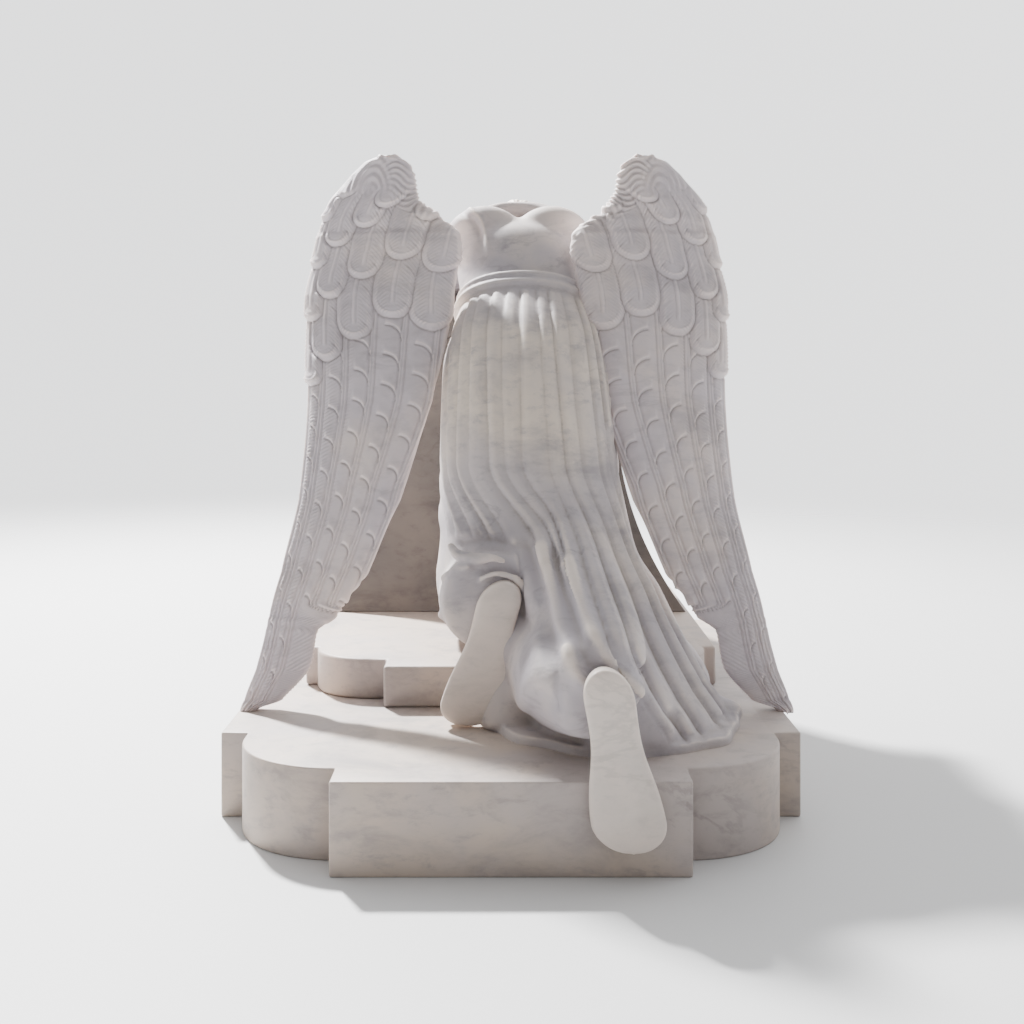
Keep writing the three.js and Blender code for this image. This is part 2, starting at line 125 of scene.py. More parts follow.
def marble(name, warm, cool, coolness, rough, veins, tooth, warm_band=None):
    """Veined white marble: warm and cool clouds, soft grey smears, specks and veins, with painted shade
    in its hollows, painted highlights on its ridges and a fine stone grain. It can be warmer and lighter
    between two heights, with painted shade above and below."""
    stone = Finish(bpy.data.materials.new(name))
    place = stone.node("ShaderNodeTexCoord")[3]
    tint = (stone.noise(place, 3.4, 5.0) + coolness).ramp(0.38, 0.62)
    # Painted light and shade: between the two heights the stone is lighter and warmer, and above and below
    # them it turns to the cool colour as painted shade.
    if warm_band:
        warm_from, warm_to = warm_band
        height = stone.node("ShaderNodeSeparateXYZ", {}, [place])[2] + (stone.noise(place, 3.0) - 0.5) * 0.3
        above = height.ramp(warm_to - 0.08, warm_to + 0.08)
        lit_band = height.ramp(warm_from - 0.16, warm_from + 0.20) * (1.0 - above)
        tint = tint * 0.5 + 0.5 - lit_band * (0.5 - tint * 0.15)
    body = stone.blend(tint, warm, cool)
    bedded = stone.node("ShaderNodeMapping", {}, {
        "Vector": place, "Rotation": (0.25, 0.35, 0.4), "Scale": (1.0, 1.0, 2.1)})[0]
    smears = stone.noise(bedded, 4.6, 7.0, 0.66, 0.35).ramp(0.46, 0.74)
    specks = stone.noise(bedded, 17.0, 7.0, 0.72, 0.3).ramp(0.49, 0.72)
    lined = (stone.noise(bedded, 2.3, 8.0, 0.60, 0.55) - 0.5).maths("ABSOLUTE")
    vein = (1.0 - lined.ramp(0.0, 0.022)) * stone.noise(place, 3.1, 2.0).ramp(0.45, 0.72)
    greyed = stone.blend(smears * veins, body, tuple(0.66 * c for c in cool))
    flecked = stone.blend(specks * (veins * 0.80), greyed, tuple(0.72 * c for c in cool))
    veined = stone.blend(vein * (veins * 0.55), flecked, tuple(0.50 * c for c in cool))
    # Painted shade darkens the points that lie deep in a groove; a painted highlight lightens the points
    # that stand proud on a ridge.
    hollow = stone.node("ShaderNodeAttribute", {"attribute_name": "hollow"})[2]
    groove_shade = stone.blend(hollow.ramp(0.05, 1.0) * 0.52, veined, tuple(0.42 * c for c in warm))
    ridge_highlight = stone.blend((hollow * -1.0).ramp(0.10, 1.0) * 0.55, groove_shade, tuple(1.30 * c for c in warm))
    stone.plug("Base Color", ridge_highlight)
    grain = stone.noise(place, 420.0, 3.0)
    wear = stone.noise(place, 34.0, 5.0)
    stone.plug("Roughness", wear * 0.16 + (rough - 0.08) + smears * 0.05)
    strand = stone.node("ShaderNodeAttribute", {"attribute_name": "strand"})[2]
    cut = stone.node("ShaderNodeAttribute", {"attribute_name": "strand_depth"})[2]
    barbs = (strand * (2 * math.pi)).maths("SINE") * cut
    surface = stone.node("ShaderNodeBump", {}, {
        "Strength": 0.5, "Distance": tooth, "Height": grain * 0.4 + wear * 0.6 + barbs * 0.8})[0]
    stone.plug("Normal", surface)
    stone.shader.inputs["Subsurface Weight"].default_value = 0.10
    stone.shader.inputs["Subsurface Radius"].default_value = (0.010, 0.008, 0.006)
    stone.shader.inputs["Subsurface Scale"].default_value = 1.0
    stone.shader.inputs["IOR"].default_value = 1.5
    stone.shader.inputs["Specular IOR Level"].default_value = 0.30
    return stone.owner


def finished(mesh, name, material, node):
    """One visible piece, riding on the statue in place of its plain solid."""
    mesh.materials.clear()
    mesh.materials.append(material)
    mesh.shade_smooth()
    piece = bpy.data.objects.new(name, mesh)
    bpy.context.scene.collection.objects.link(piece)
    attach(piece, "root")
    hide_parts(node)


base_marble = marble("honed_base_marble", warm=(0.51, 0.425, 0.36), cool=(0.44, 0.385, 0.365),
                     coolness=-0.02, rough=0.50, veins=0.95, tooth=0.0006)


def lobed_slab(node, end_panel, projection, radius, lobe, side_from, arris):
    """A slab of the base from a quarter of its plan, mirrored, raised and eased."""
    low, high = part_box(node)
    middle = (low.y + high.y) / 2
    half = (high.y - low.y) / 2
    front = half - projection
    bm = bmesh.new()
    points = [(high.x, 0), (high.x, half - side_from), (lobe, half - side_from), (lobe, front - radius)]
    outline = [bm.verts.new((x, y, 0)) for x, y in points]
    for start, end in zip(outline, outline[1:]):
        bm.edges.new((start, end))
    turned = bmesh.ops.spin(bm, geom=[outline[-1]], cent=(lobe - radius, front - radius, 0),
                            axis=(0, 0, 1), angle=math.pi / 2, steps=24, use_merge=False)
    last = turned["geom_last"][0]
    for x, y in ((end_panel, front), (end_panel, half), (0, half)):
        corner = bm.verts.new((x, y, 0))
        bm.edges.new((last, corner))
        last = corner
    for axis in ("X", "Y"):
        bmesh.ops.mirror(bm, geom=bm.verts[:] + bm.edges[:], axis=axis, merge_dist=1e-6)
    bmesh.ops.remove_doubles(bm, verts=bm.verts, dist=1e-5)
    face = bmesh.ops.contextual_create(bm, geom=bm.edges[:])["faces"]
    raised = bmesh.ops.extrude_face_region(bm, geom=face)
    lifted = [v for v in raised["geom"] if isinstance(v, bmesh.types.BMVert)]
    bmesh.ops.translate(bm, verts=lifted, vec=(0, 0, high.z - low.z))
    bmesh.ops.recalc_face_normals(bm, faces=bm.faces)
    sharp = [e for e in bm.edges if e.calc_face_angle(0) > 0.5]
    bmesh.ops.bevel(bm, geom=sharp, offset=arris, segments=3, profile=0.5, affect="EDGES", material=-1)
    bmesh.ops.translate(bm, verts=bm.verts, vec=(0, middle, low.z))
    mesh = bpy.data.meshes.new(node)
    bm.to_mesh(mesh)
    bm.free()
    finished(mesh, node + "_stone", base_marble, node)
    mesh.set_sharp_from_angle(angle=0.6)


lobed_slab("plinth", end_panel=0.304, projection=0.077, radius=0.193, lobe=0.499, side_from=0.303,
           arris=0.0035)
lobed_slab("upper_step", end_panel=0.260, projection=0.071, radius=0.120, lobe=0.420,
           side_from=0.195, arris=0.007)

# ---- The pedestal ----
# A solid altar of the same marble, painted much darker to stand for the shade between the wings.
# Its sides sweep in from a broad foot to a waist, and it carries a moulded top slab on which the angel
# leans.
FOOT, WAIST, NECK = (0.438, 0.202), (0.268, 0.132), (0.284, 0.144)
CORNICE = (0.325, 0.184)
WAIST_HEIGHT, CORNICE_HEIGHT = 0.800, 0.962


def smooth_step(value, low, high):
    share = np.clip((value - low) / (high - low), 0.0, 1.0)
    return share * share * (3.0 - 2.0 * share)


def pedestal_reach(z, axis):
    """Half width (axis 0) or half depth (axis 1) of the pedestal at a height."""
    if z <= WAIST_HEIGHT:
        flare = (1.0 - (z - STEP_TOP) / (WAIST_HEIGHT - STEP_TOP)) ** 2.4
        return WAIST[axis] + (FOOT[axis] - WAIST[axis]) * flare
    if z < CORNICE_HEIGHT - 0.030:
        share = (z - WAIST_HEIGHT) / (CORNICE_HEIGHT - 0.030 - WAIST_HEIGHT)
        return WAIST[axis] + (NECK[axis] - WAIST[axis]) * share ** 2
    if z < CORNICE_HEIGHT + 0.014:
        share = (z - CORNICE_HEIGHT + 0.030) / 0.044
        cove = 1.0 - math.sqrt(max(0.0, 1.0 - share ** 2))
        return NECK[axis] + 0.010 + (CORNICE[axis] - NECK[axis] - 0.018) * cove
    return CORNICE[axis]


low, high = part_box("pedestal")
bm = bmesh.new()
bmesh.ops.create_cube(bm, size=1.0)
upright = [e for e in bm.edges if abs(e.verts[0].co.z - e.verts[1].co.z) > 0.5]
bmesh.ops.subdivide_edges(bm, edges=upright, cuts=150)
for vert in bm.verts:
    z = low.z + (high.z - low.z) * (vert.co.z + 0.5)
    centre = ((low.x + high.x) / 2, (low.y + high.y) / 2)
    vert.co = (*(c + math.copysign(pedestal_reach(z, i), vert.co[i]) for i, c in enumerate(centre)), z)
corners = [e for e in bm.edges if e.calc_face_angle(0) > 0.9]
bmesh.ops.bevel(bm, geom=corners, offset=0.003, segments=2, profile=0.5, affect="EDGES", material=-1)
mesh = bpy.data.meshes.new("pedestal")
bm.to_mesh(mesh)
bm.free()
# Painted shade: the altar's marble is made dark and grey for the shade it stands in. Only its strong grey
# veins are its own.
shade_darkened_marble = marble("shade_darkened_altar_marble", warm=(0.185, 0.157, 0.137), cool=(0.145, 0.128, 0.118),
                     coolness=0.0, rough=0.58, veins=1.0, tooth=0.0006)
finished(mesh, "pedestal_stone", shade_darkened_marble, "pedestal")
mesh.set_sharp_from_angle(angle=0.5)

# ---- The angel's gown ----
# Thin cloth gathered under a double cord, carved in the same block as the figure. It hangs in
# close pleats down the back, sweeps towards the angel's right over both legs, leaves the soles
# bare and spreads on the base.
BODY = np.array([
    # middle x, half width, back y, back z, front y, front z
    (0.232, 0.216, -0.676, 0.150, 0.060, 0.150),
    (0.186, 0.206, -0.640, 0.240, 0.105, 0.240),
    (0.088, 0.238, -0.500, 0.365, 0.110, 0.350),
    (0.052, 0.204, -0.420, 0.520, 0.080, 0.480),
    (0.037, 0.190, -0.335, 0.740, 0.060, 0.640),
    (0.030, 0.178, -0.180, 0.940, 0.120, 0.800),
    (0.029, 0.147, -0.032, 1.058, 0.190, 0.930),
    (0.022, 0.152, 0.045, 1.165, 0.262, 1.035),
    (0.022, 0.132, 0.105, 1.202, 0.285, 1.105),
    (0.020, 0.062, 0.185, 1.215, 0.270, 1.170),
])
BELT = 6.0
CORD_RADIUS = 0.0105
PLEAT_TURN = math.radians(12.0)
FIRST_PLEAT = math.radians(165.0)
GOWN_VOXEL = 0.0045
GOWN_SHARE = 0.50  # of the faces that are kept once the folds are cut


def through(stops, place):
    """A smooth curve through the rows of stops, read at any places between them."""
    stops = np.asarray(stops, float)
    last = len(stops) - 1
    index = np.clip(np.floor(place).astype(int), 0, last - 1)
    share = (place - index)[:, None]
    before, start, end, after = (stops[np.clip(index + k, 0, last)] for k in (-1, 0, 1, 2))
    leave, arrive = (end - before) / 2, (after - start) / 2
    bend = 2 * (start - end) + leave + arrive
    return start + share * (leave + share * (3 * (end - start) - 2 * leave - arrive + share * bend))


def read(items, what):
    """The named vector of every item, as rows."""
    values = np.empty(len(items) * 3)
    items.foreach_get(what, values)
    return values.reshape(-1, 3)


def outward(mesh):
    """Turns a closed mesh's faces outwards."""
    bm = bmesh.new()
    bm.from_mesh(mesh)
    bmesh.ops.recalc_face_normals(bm, faces=bm.faces)
    bm.to_mesh(mesh)
    bm.free()
    mesh.update()


def wrapped(name, around, along, point_at):
    """A sphere's mesh, wrapped on a form: point_at takes shares along and turns around."""
    bm = bmesh.new()
    bmesh.ops.create_uvsphere(bm, u_segments=around, v_segments=along, radius=1.0)
    mesh = bpy.data.meshes.new(name)
    bm.to_mesh(mesh)
    bm.free()
    x, y, z = read(mesh.vertices, "co").T
    level = np.round((1.0 - np.arccos(np.clip(z, -1, 1)) / math.pi) * along)
    share = np.clip((level - 1) / (along - 2), 0.0, 1.0)
    turn = np.mod(np.arctan2(y, x) / (2 * math.pi), 1.0)
    turn[turn > 1 - 1e-5] = 0.0
    placed = point_at(share, turn)
    for end, ring in ((0, 1), (along, along - 1)):
        placed[level == end] = placed[level == ring].mean(axis=0)
    mesh.vertices.foreach_set("co", placed.ravel())
    outward(mesh)
    return mesh


def raised(mesh, height_at):
    """Moves the surface along its normals by the height that height_at gives."""
    co = read(mesh.vertices, "co")
    normal = read(mesh.vertex_normals, "vector")
    co += normal * height_at(co, normal)[:, None]
    mesh.vertices.foreach_set("co", co.ravel())
    mesh.update()


def show_hollows(mesh, rounds, scale):
    """Stores how deep in a groove (or proud on a ridge, below zero) each point lies."""
    co, normal = read(mesh.vertices, "co"), read(mesh.vertex_normals, "vector")
    ends = np.empty(len(mesh.edges) * 2, int)
    mesh.edges.foreach_get("vertices", ends)
    first, second = ends.reshape(-1, 2).T
    links = np.bincount(ends, minlength=len(co))[:, None]
    soft = co.copy()
    for _ in range(rounds):
        total = [np.bincount(first, soft[second, k], len(co))
                 + np.bincount(second, soft[first, k], len(co)) for k in range(3)]
        soft = np.stack(total, axis=1) / links
    hollow = ((soft - co) * normal).sum(axis=1) / scale
    mesh.attributes.new("hollow", "FLOAT", "POINT").data.foreach_set("value", np.clip(hollow, -1, 1))


def body_ring(place, angle):
    """A point on the torso or gown, from its height along the body and its angle."""
    middle, half, back_y, back_z, front_y, front_z = through(BODY, place).T
    across, deep = (np.sign(v) * np.abs(v) ** 0.86 for v in (np.cos(angle), np.sin(angle)))
    share = 0.5 + 0.5 * deep
    return np.stack([middle + half * across, front_y + (back_y - front_y) * share,
                     front_z + (back_z - front_z) * share], axis=1)


def tube(name, stops, around=40, along=40, blunt=0.62, fluted=None):
    """A rounded limb or fold along stops of x, y, z, radius and, if given, flatness."""
    stops = np.array([(*s, 1.0) if len(s) == 4 else s for s in stops], float)
    length = np.linalg.norm(np.diff(stops[:, :3], axis=0), axis=1).sum()
    last = len(stops) - 1

    def point_at(share, turn):
        end = 0.5 - 0.5 * np.cos(math.pi * share)
        here = through(stops, end * last)
        ahead = through(stops, np.minimum(end * last + 0.02, last))[:, :3]
        along_it = ahead - through(stops, np.maximum(end * last - 0.02, 0))[:, :3]
        along_it /= np.linalg.norm(along_it, axis=1)[:, None]
        side = np.cross([0.0, 0.0, 1.0], along_it)
        steep = np.linalg.norm(side, axis=1)[:, None] < 0.25
        side = np.where(steep, [[1.0, 0.0, 0.0]], side)
        side /= np.linalg.norm(side, axis=1)[:, None]
        up = np.cross(along_it, side)
        from_end = np.minimum(end, 1 - end) * length / (here[:, 3] * blunt)
        closing = np.sqrt(np.clip(1 - (1 - np.minimum(from_end, 1.0)) ** 2, 0.001, 1))
        reach = here[:, 3] * closing
        if fluted:
            reach = reach * (1 + fluted(end, turn))
        angle = turn * 2 * math.pi
        return (here[:, :3] + side * (reach * np.cos(angle))[:, None]
                + up * (reach * here[:, 4] * np.sin(angle))[:, None])

    return wrapped(name, around, along, point_at)


def blob(at, radii, turn=(0.0, 0.0, 0.0), detail=40):
    """An ellipsoid, turned about X, Y and Z in that order."""
    bm = bmesh.new()
    bmesh.ops.create_uvsphere(bm, u_segments=detail, v_segments=detail // 2, radius=1.0)
    bmesh.ops.scale(bm, vec=radii, verts=bm.verts)
    bmesh.ops.rotate(bm, matrix=Euler(turn).to_matrix(), verts=bm.verts)
    bmesh.ops.translate(bm, vec=at, verts=bm.verts)
    mesh = bpy.data.meshes.new("blob")
    bm.to_mesh(mesh)
    bm.free()
    return mesh


def evaluated(mesh, *modifiers):
    """The mesh with modifiers applied to it."""
    shape = bpy.data.objects.new("shaping", mesh)
    bpy.context.scene.collection.objects.link(shape)
    for kind, settings in modifiers:
        modifier = shape.modifiers.new(kind.lower(), kind)
        for name, value in settings.items():
            setattr(modifier, name, value)
    graph = bpy.context.evaluated_depsgraph_get()
    made = bpy.data.meshes.new_from_object(shape.evaluated_get(graph))
    bpy.data.objects.remove(shape)
    return made


def fused(meshes, voxel, rounds):
    """Closed meshes carved as one: a single skin around them all, smoothed."""
    bm = bmesh.new()
    for mesh in meshes:
        bm.from_mesh(mesh)
    together = bpy.data.meshes.new("together")
    bm.to_mesh(together)
    bm.free()
    return evaluated(together, ("REMESH", {"mode": "VOXEL", "voxel_size": voxel}),
                     ("SMOOTH", {"factor": 0.5, "iterations": rounds}))


def hem_point(share, turn):
    """Cloth that spreads in a wavy edge on the base."""
    angle = turn * 2 * math.pi
    wave = 1 + 0.028 * np.sin(7 * angle + 0.6) + 0.012 * np.sin(15 * angle)
    rim = np.where((share < 0.08) | (share > 0.92), 0.5, 1.0) * (1.0 - 0.02 * share)
    z = BASE_TOP - 0.004 + 0.020 * np.clip(share * 1.2 - 0.05, 0, 1)
    return np.stack([0.205 + 0.252 * wave * rim * np.cos(angle),
                     -0.405 + 0.296 * wave * rim * np.sin(angle), z], axis=1)


def belt_cord(rise, clear):
    """One of the two cords round the waist, standing a little clear of the cloth."""
    middle, _, back_y, back_z, front_y, front_z = through(BODY, np.full(1, BELT))[0]
    centre = np.array([middle, (back_y + front_y) / 2, (back_z + front_z) / 2])
    up = np.array([0.0, front_z - back_z, back_y - front_y])
    up /= np.linalg.norm(up) * np.sign(up[2])

    def point_at(share, turn):
        on = body_ring(np.full(len(share), BELT), share * 2 * math.pi)
        out = on - centre
        out /= np.linalg.norm(out, axis=1)[:, None]
        bend = turn * 2 * math.pi
        sideways = clear + CORD_RADIUS * np.cos(bend)
        return on + np.outer(rise + CORD_RADIUS * np.sin(bend), up) + out * sideways[:, None]

    return wrapped("cord", 16, 240, point_at)


def near(value, centre, width):
    """1 at the centre, falling smoothly to 0 a width or more away."""
    return 1.0 - smooth_step(np.abs(value - centre), 0.0, width)


def along_line(co, stops, width):
    """How close each point is, seen from behind, to a line through stops of x and z."""
    x, z = co[:, 0], co[:, 2]
    closest = np.full(len(co), 9.0)
    line = through(np.array(stops), np.linspace(0, len(stops) - 1, 24 * len(stops)))
    for (x0, z0), (x1, z1) in zip(line, line[1:]):
        span = (x1 - x0) ** 2 + (z1 - z0) ** 2
        share = np.clip(((x - x0) * (x1 - x0) + (z - z0) * (z1 - z0)) / span, 0, 1)
        closest = np.minimum(closest, np.hypot(x - x0 - share * (x1 - x0), z - z0 - share * (z1 - z0)))
    return np.exp(-(closest / width) ** 2)


def pleat_height(co, normal):
    """Pleats of the gown: how far the cloth stands out at each point."""
    x, y, z = co.T
    place = np.interp(z, BODY[:7, 3], np.arange(7))
    middle, half = through(BODY, place)[:, :2].T
    across = np.clip((x - middle) / (half * 1.03), -1, 1)
    front = y > np.interp(z, (0.15, 0.5, 0.9, 1.0), (-0.16, -0.13, 0.0, 0.06))
    angle = np.where(front, -np.arccos(across), np.arccos(across))
    swept = smooth_step(-z, -0.66, -0.50)
    skipped = smooth_step(-angle, -math.radians(86), -math.radians(70))
    number = (FIRST_PLEAT - angle) / PLEAT_TURN - 2.0 * swept + swept * skipped
    number += 0.10 * np.sin(2.3 * number + 1.0) + 0.07 * np.sin(7.0 * z + 1.7 * number)
    number += 0.6 * smooth_step(-z, -0.42, -0.26) * skipped
    ridge = np.sin(math.pi * np.mod(number, 1.0) ** 0.62) ** 0.8 - 0.60
    uneven = 0.85 + 0.3 * np.sin(3.1 * np.round(number) + 0.7)
    depth = 0.0070 + 0.0130 * smooth_step(-z, -0.62, -0.36)
    calm = smooth_step(angle, math.radians(64), math.radians(77)) * smooth_step(-z, -0.50, -0.41)
    left_end = smooth_step(angle, math.radians(99), math.radians(107)) * smooth_step(-z, -0.535, -0.50)
    belted = smooth_step(1.058 - 0.577 * (y + 0.032) - z, 0.036, 0.062)
    facing = smooth_step(-normal[:, 1] + 0.6 * np.abs(normal[:, 0]), -0.25, 0.2)
    floor = smooth_step(z, BASE_TOP + 0.012, BASE_TOP + 0.03)
    return ridge * uneven * depth * belted * facing * floor * (1 - calm) * (1 - left_end)


def fold_height(co, normal):
    """Single folds: over the calf, beside the soles, down the back and on the sleeves."""
    x, y, z = co.T
    behind = smooth_step(-normal[:, 1], -0.1, 0.35)
    low = (z < 0.6) & (y < -0.2)
    ridges = ([(0.005, 0.500), (0.030, 0.440), (0.046, 0.385), (0.048, 0.335), (0.030, 0.285),
               (0.020, 0.240)],
              [(0.060, 0.500), (0.080, 0.440), (0.092, 0.385), (0.108, 0.335), (0.140, 0.305)],
              [(0.105, 0.480), (0.130, 0.410), (0.158, 0.360), (0.196, 0.322), (0.226, 0.282)])
    valleys = ([(0.034, 0.500), (0.056, 0.430), (0.070, 0.375), (0.076, 0.320), (0.072, 0.280)],
               [(0.084, 0.490), (0.106, 0.425), (0.126, 0.370), (0.156, 0.330)])
    height = sum(0.013 * along_line(co, stops, 0.015) for stops in ridges)
    height -= sum(0.010 * along_line(co, stops, 0.014) for stops in valleys)
    height -= 0.010 * np.exp(-((x - 0.060) / 0.034) ** 2 - ((z - 0.275) / 0.034) ** 2)
    height -= 0.006 * along_line(co, [(-0.100, 0.500), (-0.040, 0.512), (0.006, 0.496), (0.026, 0.445),
                                      (0.022, 0.380)], 0.008)
    upper = (z > 1.05) & (y < 0.16)
    taper = smooth_step(z, 1.10, 1.18)
    ridge = [(-0.100, 1.238), (-0.072, 1.205), (-0.060, 1.165), (-0.052, 1.105)]
    valley = [(-0.116, 1.225), (-0.086, 1.198), (-0.072, 1.160), (-0.060, 1.100)]
    back = 0.0045 * taper * (along_line(co, ridge, 0.006) - along_line(co, valley, 0.008))
    sleeve = smooth_step(np.abs(x - 0.02), 0.09, 0.14) * smooth_step(y, 0.19, 0.26) * (z > 0.99)
    across_arm = y + 0.55 * np.abs(x - 0.02)
    wrinkle = 0.0032 * np.sin(62 * across_arm + 9 * np.sin(24 * z + 11 * x) + 14 * (x - 0.02) * z)
    wrinkle *= 0.5 + 0.5 * np.sin(17 * across_arm + 31 * z)
    return height * low * behind + back * upper * behind + wrinkle * sleeve


CALF = [(0.060, -0.120, 0.330, 0.100), (0.088, -0.420, 0.286, 0.104),
        (0.104, -0.640, 0.288, 0.094), (0.146, -0.806, 0.304, 0.080)]
DRAPE = [(0.070, -0.260, 0.500, 0.120), (0.122, -0.460, 0.420, 0.098),
         (0.150, -0.650, 0.352, 0.084), (0.158, -0.780, 0.326, 0.068)]
CONE = [(0.010, -0.400, 0.320, 0.040), (0.000, -0.470, 0.230, 0.044), (-0.008, -0.490, 0.150, 0.062)]
SPREAD = [(0.170, -0.300, 0.262, 0.118), (0.196, -0.540, 0.222, 0.104), (0.216, -0.700, 0.192, 0.074)]
SHIN = [(-0.056, 0.020, 0.345, 0.098), (-0.052, -0.300, 0.380, 0.098), (-0.038, -0.488, 0.400, 0.094)]
# Cloth edges: little folds at the left, and a bead round the left heel.
EDGES = [
    [(-0.122, -0.385, 0.498, 0.007), (-0.104, -0.444, 0.486, 0.011), (-0.072, -0.474, 0.482, 0.013),
     (-0.036, -0.490, 0.486, 0.008), (-0.010, -0.480, 0.476, 0.005)],
    [(-0.136, -0.380, 0.430, 0.007), (-0.120, -0.436, 0.444, 0.011), (-0.098, -0.466, 0.460, 0.012),
     (-0.078, -0.484, 0.470, 0.005)],
    [(-0.140, -0.380, 0.392, 0.007), (-0.126, -0.436, 0.406, 0.010), (-0.110, -0.462, 0.424, 0.010),
     (-0.098, -0.478, 0.436, 0.005)],
    [(-0.142, -0.384, 0.356, 0.007), (-0.128, -0.436, 0.370, 0.010), (-0.116, -0.460, 0.384, 0.008)],
    [(-0.062, -0.488, 0.444, 0.005), (-0.028, -0.492, 0.456, 0.006), (0.008, -0.490, 0.444, 0.006),
     (0.030, -0.486, 0.404, 0.006), (0.028, -0.484, 0.340, 0.005)],
]
UPPER_ARM = [(0.065, 0.130, 1.168, 0.060), (0.132, 0.225, 1.150, 0.062),
             (0.202, 0.375, 1.090, 0.060), (0.236, 0.452, 1.068, 0.050)]
SLEEVE = [(0.242, 0.432, 1.070, 0.050), (0.130, 0.488, 1.073, 0.054), (0.060, 0.514, 1.080, 0.041)]
MIDDLE = 0.020


def body_point(share, turn):
    return body_ring(share * (len(BODY) - 1), math.pi - turn * 2 * math.pi)


forms = [wrapped("gown", 240, 160, body_point), tube("calf", CALF, 80, 80),
         tube("spread", SPREAD, 80, 60), tube("shin", SHIN, 80, 80, 0.5),
         tube("drape", DRAPE, 80, 80, 0.8), tube("cone", CONE, 60, 40, 0.6),
         blob((-0.062, 0.156, 1.163), (0.098, 0.066, 0.084), (0.25, 0.0, 0.0)),
         blob((0.098, 0.156, 1.163), (0.098, 0.066, 0.084), (0.25, 0.0, 0.0))]
cloth = [fused(forms, 0.0055, 28), wrapped("hem", 220, 24, hem_point),
         tube("collar", [(-0.070, 0.170, 1.222, 0.018), (-0.030, 0.212, 1.240, 0.020),
                         (0.020, 0.226, 1.245, 0.020), (0.070, 0.212, 1.240, 0.020),
                         (0.110, 0.170, 1.222, 0.018)], 30, 60)]
for rise, clear in ((-0.015, 0.007), (0.008, 0.002)):
    cloth.append(belt_cord(rise, clear))
for turn in (21, 29, 37):
    strand = body_ring(np.linspace(5.9, 3.7 + 0.012 * turn, 7), np.full(7, math.radians(turn)))
    cloth.append(tube("strand", [(*point, 0.0075) for point in strand], 14, 60, 0.8))
for stops in EDGES:
    cloth.append(tube("edge", stops, 20, 50, 0.9))
for side in (-1, 1):
    for stops in (UPPER_ARM, SLEEVE):
        cloth.append(tube("arm", [(MIDDLE + side * x, y, z, r) for x, y, z, r in stops], 60, 60))
gown = fused(cloth, GOWN_VOXEL, 4)
raised(gown, pleat_height)
raised(gown, fold_height)
gown = evaluated(gown, ("DECIMATE", {"ratio": GOWN_SHARE}))
show_hollows(gown, 6, 0.0042)

# The cool colour is a dark, bluish painted shade. It tints the gown in random clouds, and above the cord
# and low down it stands for shade.
gown_marble = marble("carved_gown_marble", warm=(0.71, 0.615, 0.52), cool=(0.415, 0.382, 0.405),
                     coolness=0.0, rough=0.66, veins=0.85, tooth=0.0005, warm_band=(0.60, 1.02))
finished(gown, "angel_gown", gown_marble, "angel")

# ---- The bare feet ----
# Both feet rest on their toes with the soles turned back, the left on the base and the right
# over its near edge. They are carved in the figure's block and polished finer than the cloth.
skin_marble = marble("polished_skin_marble", warm=(0.70, 0.61, 0.545), cool=(0.62, 0.555, 0.505),
                     coolness=-0.1, rough=0.52, veins=0.5, tooth=0.0004)
FEET = (((-0.084, -0.492, 0.163), (-0.012, -0.500, 0.443), 0.040),
        ((0.202, -0.852, 0.048), (0.155, -0.850, 0.352), 0.032))


def foot_mesh(toe, heel, thick):
    """A foot from the ball to the heel, with a flat sole, an arch and a narrow waist."""

    def point_at(share, turn):
        along = 0.5 - 0.5 * np.cos(math.pi * share)
        nearest = np.minimum(along, 1 - along) / 0.17
        ends = np.sqrt(np.clip(1 - (1 - np.minimum(nearest, 1)) ** 2, 0.002, 1))
        waist = 0.004 * np.exp(-((along - 0.55) / 0.16) ** 2)
        half = (0.063 - 0.020 * smooth_step(along, 0.15, 0.75) - waist) * ends
        deep = (thick + (0.084 - thick) * smooth_step(along, 0.25, 0.8)) * np.sqrt(ends)
        angle = turn * 2 * math.pi
        under = np.sin(angle) < 0
        arch = 0.004 * np.exp(-((along - 0.52) / 0.18) ** 2)
        flat = np.where(under, -np.abs(np.sin(angle)) ** 0.5 * (0.013 - arch) * ends ** 0.7,
                        np.sin(angle) * (deep - 0.013))
        width = np.sign(np.cos(angle)) * np.abs(np.cos(angle)) ** np.where(under, 0.45, 0.85)
        centre = np.array(toe) + (np.array(heel) - np.array(toe)) * along[:, None]
        return centre + np.stack([half * width, flat, 0 * along], axis=1)

    return wrapped("foot", 120, 100, point_at)


for number, (toe, heel, thick) in enumerate(FEET):
    side = (-1, 1)[number]
    parts = [foot_mesh(toe, heel, thick)]
    for digit in range(5):
        spread = -0.034 + 0.018 * digit
        size = 0.0125 - 0.0012 * digit
        x = toe[0] - side * spread
        knuckle = (x, toe[1] + 0.012, toe[2] + 0.050 + 0.006 * digit, size + 0.002)
        tip = (x, toe[1] + 0.046 - 0.004 * digit, toe[2] + 0.022 + 0.006 * digit, size)
        parts.append(tube("toe", [knuckle, tip], 20, 20, 0.9))
    foot = fused(parts, 0.003, 3)
    show_hollows(foot, 8, 0.0025)
    finished(foot, ("angel_left_foot", "angel_right_foot")[number], skin_marble, "angel")

# ---- The head ----
# Bowed over the hands, with closed eyes and waved hair drawn back from a parting to a low knot.
# The face is a plain ideal one, on the proportions that carvers are taught.
HEAD = Vector((0.020, 0.372, 1.186))
BOW = 0.85


def on_head(mesh):
    """Places a mesh made about the middle of the head, face to +Y, on the bowed neck."""
    co = read(mesh.vertices, "co") @ np.array(Euler((-BOW, 0, 0)).to_matrix()).T + np.array(HEAD)
    mesh.vertices.foreach_set("co", co.ravel())
    mesh.update()
    return mesh


